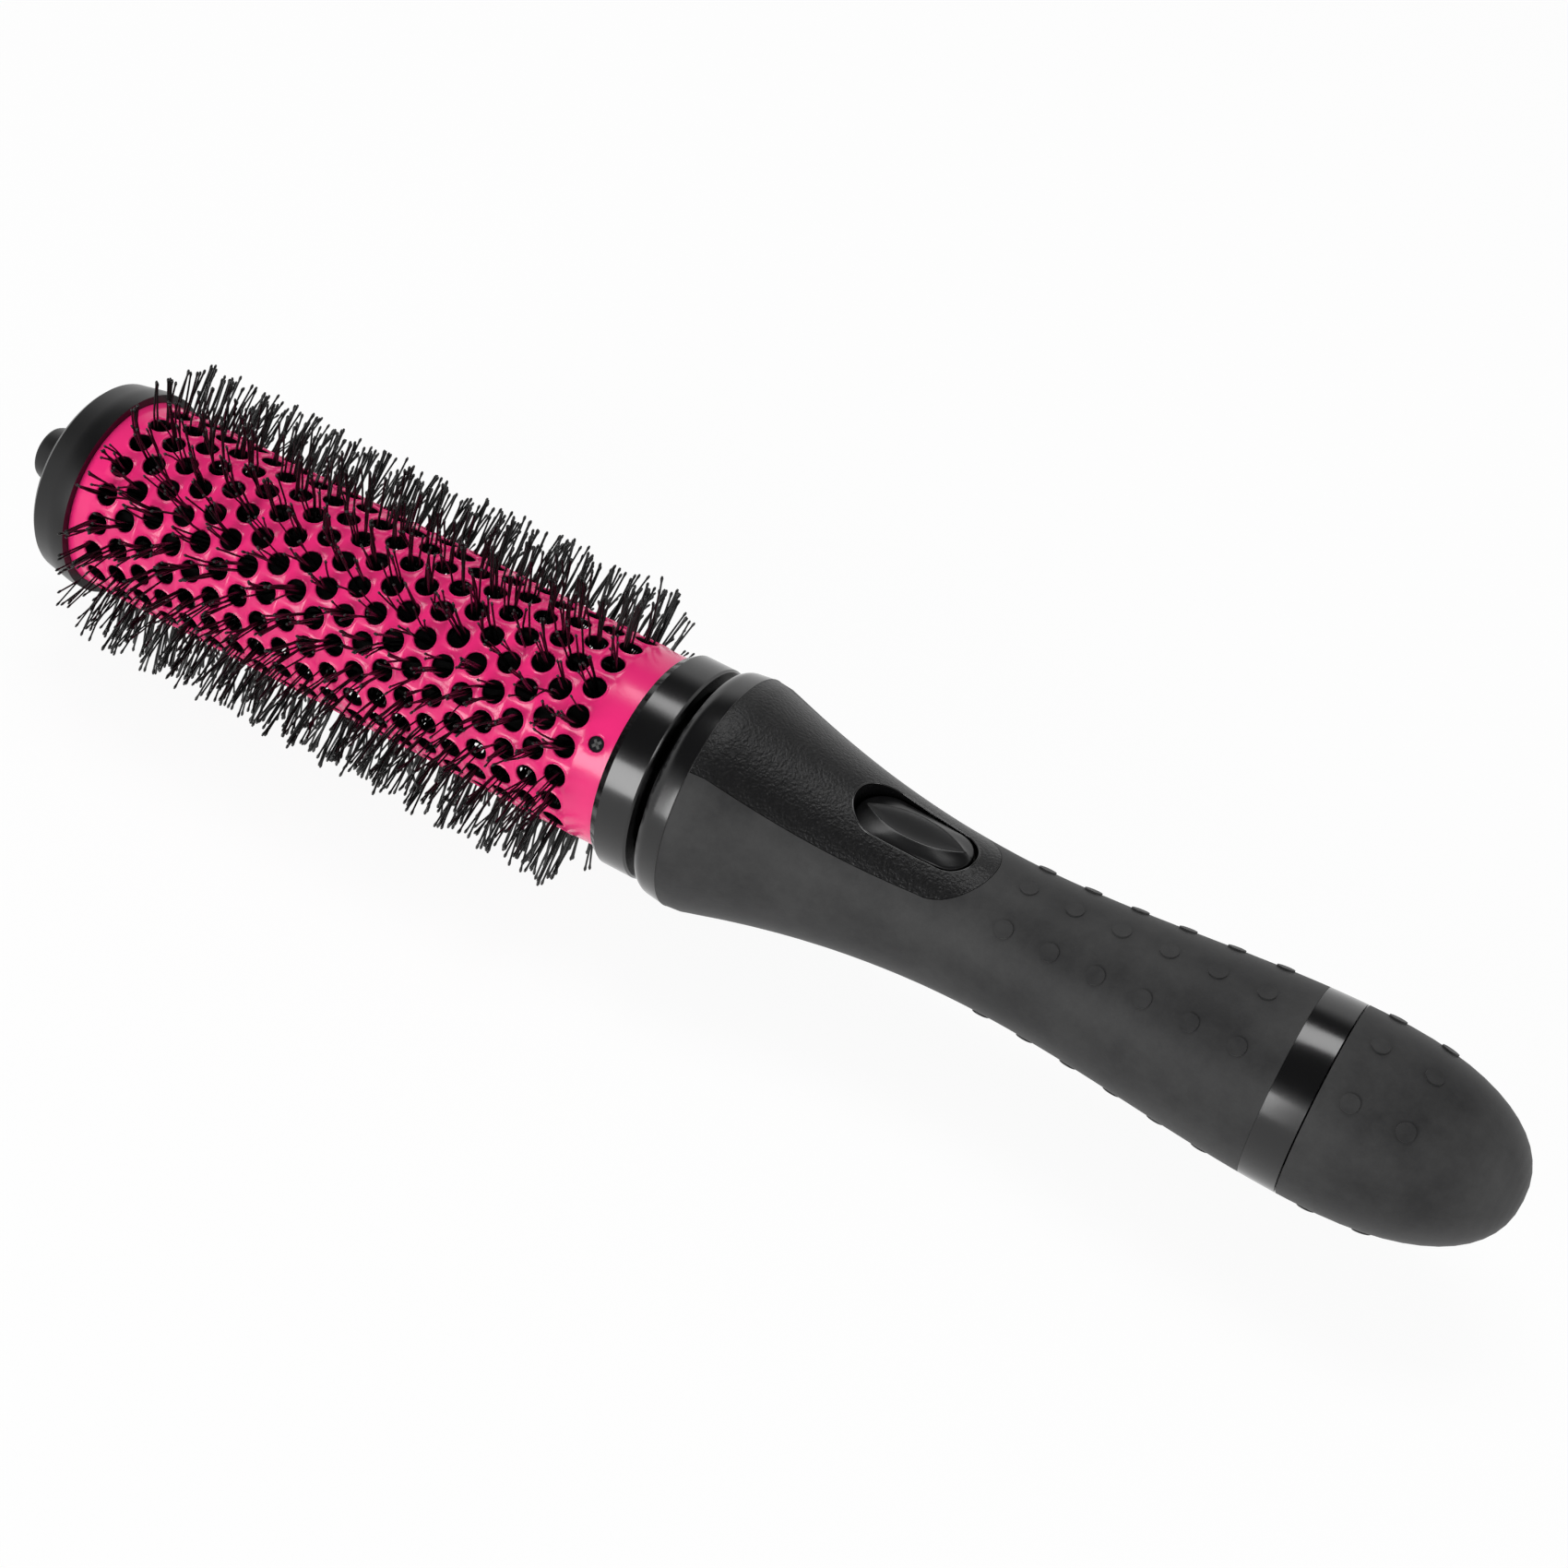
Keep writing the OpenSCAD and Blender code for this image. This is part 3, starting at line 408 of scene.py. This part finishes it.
def build_barrel():
    mesh = bmesh.new()
    for k in range(HOLES):
        for ring in range(RINGS + 1):
            x0, a0 = FIRST_RING + ring * PITCH, ring_turn(ring) + k * STEP
            if ring < RINGS or k in SCREW_CELLS:
                add_cell(mesh, x0, a0, HOLE_R if ring < RINGS else SCREW_HOLE_R)
            else:
                for radius in (BARREL_R, BARREL_IN):
                    add_patch(mesh, x0 - PITCH / 2, x0 + PITCH / 2, a0, radius)
        for radius in (BARREL_R, BARREL_IN):
            add_patch(mesh, BARREL_ENDS[0], FIRST_RING - PITCH / 2, ring_turn(0) + k * STEP, radius)
            add_patch(mesh, LAST_RING + 1.5 * PITCH, BARREL_ENDS[1], ring_turn(SCREW_RING) + k * STEP, radius)
    for x, turn in zip(BARREL_ENDS, (ring_turn(0), ring_turn(SCREW_RING))):
        angles = [turn - STEP / 2 + STEP * i / ACROSS for i in range(ACROSS * HOLES)]
        join_loops(mesh, [[mesh.verts.new(on_barrel(x, a, r)) for a in angles] for r in (BARREL_R, BARREL_IN)])
    bmesh.ops.remove_doubles(mesh, verts=mesh.verts, dist=WELD_DISTANCE)
    bmesh.ops.recalc_face_normals(mesh, faces=mesh.faces)
    return mesh


vented_barrel = finish_piece(build_barrel(), "vented_barrel", "pink_gloss_plastic", "brush_head", "barrel", 50)
# The second finish is the black painted shade below the lips of the holes.
vented_barrel.data.materials.append(finishes["black_satin_plastic"])

# %% [markdown]
# ## Painted shade of the cross recess in the screws
# The CAD screw heads are plain discs 0.3 mm below the barrel's skin. At this size a cut recess and a flat black
# cross look alike, so the shade of the recess is painted: each head gets a cross of two thin black plates.

# %% Cross recesses, as painted shade
HEAD_DEPTH = 0.3
CROSS_L, CROSS_W, CROSS_T = 0.95, 0.27, 0.03  # half the length, width and thickness of a plate
AXIS = Vector((1, 0, 0))


def add_box(mesh, middle, half_x, half_y, half_z):
    signs = [(sx, sy, sz) for sx in (-1, 1) for sy in (-1, 1) for sz in (-1, 1)]
    points = [mesh.verts.new(middle + sx * half_x + sy * half_y + sz * half_z) for sx, sy, sz in signs]
    for face in ((0, 1, 3, 2), (4, 6, 7, 5), (0, 4, 5, 1), (2, 3, 7, 6), (0, 2, 6, 4), (1, 5, 7, 3)):
        mesh.faces.new([points[i] for i in face])


recess_shade = bmesh.new()
for k in SCREW_CELLS:
    degrees = ring_turn(SCREW_RING) + k * STEP
    middle = on_barrel(LAST_RING + PITCH, degrees, BARREL_R - HEAD_DEPTH)
    out = (on_barrel(0, degrees, 1) - on_barrel(0, degrees, 0)).normalized()
    one = (AXIS + out.cross(AXIS)).normalized()
    two = out.cross(one)
    for lengthwise, sideways in ((one, two), (two, one)):
        add_box(recess_shade, middle, lengthwise * CROSS_L * MM, sideways * CROSS_W * MM, out * CROSS_T * MM)
# The black cross is painted shade of a recess that isn't cut.
finish_piece(recess_shade, "screw_recess_shade", "black_nylon", "brush_head", split=30)

# %% [markdown]
# ## Tufts of nylon
# Every hole holds a tuft: thin filaments that stand on the strip inside the barrel, pass the hole side by side in
# four clumps, point straight out from the axis with a little lean, and end in small balls at different lengths.
# Blender's hair would do for a picture, but the library wants meshes, so each filament is a thin four-sided rod.
# A fixed seed keeps them the same on each run.

# %% One filament
FILAMENT_R, FILAMENT_SIDES = 0.22, 4
# Place along a filament, and its thickness there: it tapers, then ends in a ball
FILAMENT = ((0, 1), (0.2, 1), (0.4, 1), (0.6, 1), (0.78, 0.95), (0.93, 0.9), (0.975, 1.45), (1.0, 0.8))
ASLANT = Vector((0.9, 0.3, 0.2))  # a direction that no filament takes


def add_filament(mesh, path):
    loops = []
    for i, (point, (_, thickness)) in enumerate(zip(path, FILAMENT)):
        along = (path[min(i + 1, len(path) - 1)] - path[max(i - 1, 0)]).normalized()
        side = along.cross(ASLANT).normalized()
        other = along.cross(side)
        radius = FILAMENT_R * thickness * MM
        loops.append([mesh.verts.new(point + radius * (math.cos(a) * side + math.sin(a) * other))
                      for a in turns(FILAMENT_SIDES)])
    join_loops(mesh, loops)
    mesh.faces.new(loops[0])
    mesh.faces.new(list(reversed(loops[-1])))


print("points on a filament:", len(FILAMENT) * FILAMENT_SIDES)

# %% One tuft
luck = random.Random(5)
FILAMENTS, CLUMPS = 6, 4
ROOT_R, TIP_R = 13.0, 30.2
CLUMP_OUT, DEGREES_PER_MM = 1.55, 3.2  # how far a clump stands from the hole's middle, and mm as an angle
# Spreads in mm along the brush and in degrees around it
TUFT_LEAN, CLUMP_LEAN, HOOK_LEAN, ROOT_SPREAD = (0.5, 1.4), (0.7, 1.8), (0.45, 1.2), (0.24, 0.7)
# Shortest and longest of each trim, in mm
TUFT_TRIM, CLUMP_TRIM, FILAMENT_TRIM = (-2.0, 0.5), (-2.6, 0.6), (-1.4, 0.4)
BOW, HOOK_FROM = 0.65, 0.6  # how much of the lean is a bow, and where the hooked end starts


def lean(spread):
    return luck.gauss(0, spread[0]), luck.gauss(0, spread[1])


def trim(limits):
    return luck.triangular(*limits, 0.0)


def place_clumps():
    (tuft_x, tuft_a), tuft_trim = lean(TUFT_LEAN), trim(TUFT_TRIM)
    clumps = []
    for _ in range(CLUMPS):
        turn, far = luck.uniform(0, 2 * math.pi), CLUMP_OUT * math.sqrt(luck.random())
        lean_x, lean_a = lean(CLUMP_LEAN)
        clumps.append((far * math.cos(turn), DEGREES_PER_MM * far * math.sin(turn),
                       tuft_x + lean_x, tuft_a + lean_a, tuft_trim + trim(CLUMP_TRIM)))
    return clumps


def add_tuft(mesh, x0, a0):
    clumps = place_clumps()
    for f in range(FILAMENTS):
        root_x, root_a, lean_x, lean_a, clump_trim = clumps[f % CLUMPS]
        root_x, root_a = (root + luck.uniform(-s, s) for root, s in zip((root_x, root_a), ROOT_SPREAD))
        hook_x, hook_a = lean(HOOK_LEAN)
        reach = TIP_R + clump_trim + trim(FILAMENT_TRIM)
        path = []
        for t, _ in FILAMENT:
            bow, hook = (1 - BOW) * t + BOW * t * t, max(0, t - HOOK_FROM) / (1 - HOOK_FROM)
            x = x0 + root_x + lean_x * bow + hook_x * hook
            a = a0 + root_a + lean_a * bow + hook_a * hook
            path.append(on_barrel(x, a, ROOT_R + (reach - ROOT_R) * t))
        add_filament(mesh, path)


print("tufts:", HOLES * RINGS, "of", FILAMENTS, "filaments")

# %% Build the tufts
QUARTERS = "abcd"
for quarter, letter in enumerate(QUARTERS):
    tufts = bmesh.new()
    for k in range(quarter, HOLES, len(QUARTERS)):
        for ring in range(RINGS):
            add_tuft(tufts, FIRST_RING + ring * PITCH, ring_turn(ring) + k * STEP)
    finish_piece(tufts, "tufts_" + letter, "black_nylon", "brush_head", "bristle_strips_" + letter)

# %% [markdown]
# ## Boss behind the collar
# The head turns a little clear of the handle. A boss on the collar's back runs inside the lip of the head ring
# without touching it, so that the gap stays dark from the side. It is turned from a closed outline, and its two
# ends are measured on the CAD pieces.

# %% Boss behind the collar
BOSS_R, BOSS_BORE, BOSS_BEVEL, BOSS_IN, BOSS_SIDES = 14.7, 5.2, 0.2, 0.7, 96
boss_start = max(v.co.x for v in nodes["root_collar"].data.vertices)
boss_end = min(v.co.x for v in nodes["head_ring"].data.vertices) + BOSS_IN * MM
outline = ((boss_start, BOSS_R), (boss_end - BOSS_BEVEL * MM, BOSS_R), (boss_end, BOSS_R - BOSS_BEVEL),
           (boss_end, BOSS_BORE), (boss_start, BOSS_BORE))
boss = bmesh.new()
loops = [[boss.verts.new((x, radius * MM * math.sin(a), radius * MM * math.cos(a))) for a in turns(BOSS_SIDES)]
         for x, radius in outline]
join_loops(boss, loops + loops[:1])
bmesh.ops.recalc_face_normals(boss, faces=boss.faces)
finish_piece(boss, "collar_boss", "black_gloss_plastic", "brush_head", split=40)
print("boss behind the collar, mm:", round((boss_end - boss_start) / MM, 2))

# %% [markdown]
# ## Rocker
# The rocker is an egg-shaped block whose top narrows to a lens with two points, and the lens is dished a little
# for the finger. A bevel can't turn one outline into another, so outlines are stacked instead. Rays from the
# rocker's middle measure how far the egg and the lens reach, and each level blends the two.

# %% Outlines of the rocker
ROCKER_X, ROCKER_L, ROCKER_W, ROCKER_TAPER = 44.2, 22.8, 11.4, 0.84
WELL_L, WELL_W = 24.4, 12.4
LENS_L, LENS_W = 20.0, 6.2
AROUND, EGG_SIDES, GRAZING = 160, 720, 0.02


def egg_reach(ray, length, width):
    front, rear = width / 2, width / 2 * ROCKER_TAPER
    ends = ((front - length / 2, front), (length / 2 - rear, rear))
    normals = [Vector((math.cos(a), math.sin(a))) for a in turns(EGG_SIDES)]
    return min(max(x * normal.x + r for x, r in ends) / normal.dot(ray)
               for normal in normals if normal.dot(ray) > GRAZING)


def lens_reach(ray):
    radius = (LENS_L ** 2 + LENS_W ** 2) / (4 * LENS_W)
    drop = radius - LENS_W / 2
    middles = (Vector((0, -drop)), Vector((0, drop)))
    return min(ray.dot(m) + math.sqrt(ray.dot(m) ** 2 - drop ** 2 + radius ** 2) for m in middles)


rays = [Vector((ROCKER_L * math.cos(a), ROCKER_W * math.sin(a))).normalized() for a in turns(AROUND)]
egg = [egg_reach(ray, ROCKER_L, ROCKER_W) for ray in rays]
lens = [lens_reach(ray) for ray in rays]
print("egg and lens reach, mm:", round(max(egg), 2), round(max(lens), 2))

# %% Build the rocker
# Height, share of the lens in the blend, and scale of the outline
LEVELS = ((12.3, 0, 1), (13.3, 0, 1), (13.48, 0.012, 1), (13.62, 0.05, 1), (13.8, 0.15, 1), (14.3, 0.53, 1),
          (14.74, 0.88, 1), (14.86, 0.975, 1), (14.9, 1, 0.985), (14.89, 1, 0.95), (14.85, 1, 0.88),
          (14.77, 1, 0.65), (14.72, 1, 0.35), (14.7, 1, 0.05))
rocker_finish = moulding("black_abs_fine_satin", "#0B0B0C", 0.3, 0.03, 0.4, 0.006, 0.45)
rocker = bmesh.new()
loops = []
for z, share, scale in LEVELS:
    spots = [ray * scale * (e + (n - e) * share) for ray, e, n in zip(rays, egg, lens)]
    loops.append([rocker.verts.new(Vector((ROCKER_X - ORIGIN + p.x, p.y, z)) * MM) for p in spots])
join_loops(rocker, loops)
rocker.faces.new(loops[-1])
bmesh.ops.recalc_face_normals(rocker, faces=rocker.faces)
finish_piece(rocker, "rocker_cap", "black_gloss_plastic", "rocker", "rocker_button", 60, rocker_finish)

# %% [markdown]
# ## Parting line in painted shade, and lip of the well
# Behind the head ring, where ring and panel part, a thin dark line shows, and the rim of the rocker's well has
# a rounded lip. Both are thin beads along a closed path, sunk a little into the surface, so one function makes
# them. The line is a black bead, painted shade of the gap between ring and panel; it sits on the ring's outer
# edge, measured on the CAD mesh. The lip follows the panel, which flares from its waist as a parabola.

# %% Parting line, a bead of painted shade
RING_EDGE_R, SEAM_R, SEAM_SUNK, SEAM_SIDES = 19.5, 0.13, 0.05, 6


def build_bead(path, aside, radius, sides):
    mesh = bmesh.new()
    loops = []
    for middle, out in path:
        directions = [math.cos(a) * out + math.sin(a) * aside for a in turns(sides)]
        loops.append([mesh.verts.new((middle + radius * d) * MM) for d in directions])
    join_loops(mesh, loops + loops[:1])
    bmesh.ops.recalc_face_normals(mesh, faces=mesh.faces)
    return mesh


ring_points = [v.co / MM for v in nodes["head_ring"].data.vertices]
edge = max((p for p in ring_points if math.hypot(p.y, p.z) > RING_EDGE_R), key=lambda p: p.x)
seam_reach = math.hypot(edge.y, edge.z) - SEAM_SUNK
spokes = [Vector((0, math.sin(a), math.cos(a))) for a in turns(AROUND)]
seam_path = [(Vector((edge.x, 0, 0)) + out * seam_reach, out) for out in spokes]
# The black bead is painted shade of the gap where ring and panel part.
finish_piece(build_bead(seam_path, AXIS, SEAM_R, SEAM_SIDES), "ring_seam_shade", "black_nylon", "handle")

# %% Lip of the well
WAIST_X, WAIST_R, FLARE, FLARE_L = 65, 13.95, 8.35, 54.25
LIP_R, LIP_SUNK, LIP_SIDES = 0.22, 0.14, 8


def panel_height(x, y):
    radius = WAIST_R + FLARE * ((WAIST_X - x) / FLARE_L) ** 2
    return math.sqrt(radius ** 2 - y ** 2)


lip_path = []
for ray in rays:
    rim = Vector((ROCKER_X, 0)) + ray * egg_reach(ray, WELL_L, WELL_W)
    lip_path.append((Vector((rim.x - ORIGIN, rim.y, panel_height(rim.x, rim.y) - LIP_SUNK)), ray.to_3d()))
lip = build_bead(lip_path, Vector((0, 0, 1)), LIP_R, LIP_SIDES)
finish_piece(lip, "well_lip", "black_gloss_plastic", "handle")

# %% [markdown]
# ## Studio
# A white sweep under three soft boxes. Floor and world answer the camera, mirrors and glass with white, so the
# background stays clean, and a small share of the floor stays an ordinary diffuse surface, which keeps the
# contact shadow. Mirrored rays that go up steeply find the dark of the room instead: it begins about 25 degrees
# up, is full at 44, and gives black plastic its depth.

# %% Floor
FLOOR_HALF, FLOOR_Z, PLAIN_SHARE = 6.0, -0.0312, 0.93


def seen_directly(tree):
    kinds = add_node(tree, "ShaderNodeLightPath").outputs
    seen = add_node(tree, "ShaderNodeMath", {0: kinds["Is Camera Ray"], 1: kinds["Is Glossy Ray"]},
                    operation="MAXIMUM")
    seen = add_node(tree, "ShaderNodeMath", {0: seen.outputs["Value"], 1: kinds["Is Transmission Ray"]},
                    operation="MAXIMUM")
    return seen.outputs["Value"]


def studio_floor():
    material, tree, shader, _ = start_material("studio_paper", "#F4F4F4", 0.9)
    share = add_node(tree, "ShaderNodeMath", {0: seen_directly(tree)}, operation="MULTIPLY")
    share.inputs[1].default_value = PLAIN_SHARE
    glow = add_node(tree, "ShaderNodeEmission", Color=(1, 1, 1, 1), Strength=1.0)
    mixed = add_node(tree, "ShaderNodeMixShader",
                     {0: share.outputs["Value"], 1: shader.outputs["BSDF"], 2: glow.outputs["Emission"]})
    tree.links.new(mixed.outputs["Shader"], tree.nodes["Material Output"].inputs["Surface"])
    return material


corners = [(x * FLOOR_HALF, y * FLOOR_HALF, FLOOR_Z) for x, y in ((-1, -1), (1, -1), (1, 1), (-1, 1))]
floor_mesh = bpy.data.meshes.new("floor")
floor_mesh.from_pydata(corners, [], [(0, 1, 2, 3)])
floor = bpy.data.objects.new("floor", floor_mesh)
scene.collection.objects.link(floor)
floor_mesh.materials.append(studio_floor())
print("floor at", FLOOR_Z)

# %% World
DARK_FROM, DARK_FULL = 0.42, 0.7  # heights of a ray's direction, so sines of the angles above
WHITE, DARK, FILL = (1, 1, 1, 1), (0.1, 0.1, 0.1, 1), (0.34, 0.34, 0.34, 1)
MIX_A, MIX_B, MIX_RESULT = 6, 7, 2  # sockets of a Mix node that are for colours
world = bpy.data.worlds.new("studio")
scene.world = world
world.use_nodes = True
tree = world.node_tree
direction = add_node(tree, "ShaderNodeTexCoord").outputs["Generated"]
upward = add_node(tree, "ShaderNodeSeparateXYZ", {"Vector": direction}).outputs["Z"]
height = add_node(tree, "ShaderNodeMapRange", {"Value": upward}, interpolation_type="SMOOTHSTEP",
                  **{"From Min": DARK_FROM, "From Max": DARK_FULL})
mirrored = add_node(tree, "ShaderNodeLightPath").outputs["Is Glossy Ray"]
dark_share = add_node(tree, "ShaderNodeMath", {0: height.outputs["Result"], 1: mirrored}, operation="MULTIPLY")
sweep = add_node(tree, "ShaderNodeMix", {"Factor": dark_share.outputs["Value"]}, data_type="RGBA")
sweep.inputs[MIX_A].default_value, sweep.inputs[MIX_B].default_value = WHITE, DARK
tone = add_node(tree, "ShaderNodeMix", {"Factor": seen_directly(tree), MIX_B: sweep.outputs[MIX_RESULT]},
                data_type="RGBA")
tone.inputs[MIX_A].default_value = FILL
tree.links.new(tone.outputs[MIX_RESULT], tree.nodes["Background"].inputs["Color"])
print("world with", len(tree.nodes), "nodes")

# %% Lamps
# Name, place, point aimed at, width and length of the box in metres, watts
LAMPS = (
    ("front", (-0.3, -0.95, 0.28), (0, 0, 0), 0.5, 0.5, 6.3),
    ("overhead", (-0.12, 0.22, 0.95), (0, 0, 0), 0.55, 0.35, 4.2),
    ("side", (0.95, -0.1, 0.25), (0.1, 0, 0), 0.3, 0.3, 2),
)
for name, place, aim, width, length, watts in LAMPS:
    lamp = bpy.data.lights.new(name, "AREA")
    lamp.shape, lamp.size, lamp.size_y, lamp.energy = "RECTANGLE", width, length, watts
    box = bpy.data.objects.new(name, lamp)
    scene.collection.objects.link(box)
    box.location = place
    box.rotation_euler = (Vector(aim) - Vector(place)).to_track_quat("-Z", "Y").to_euler()
print("lamps:", len(LAMPS))
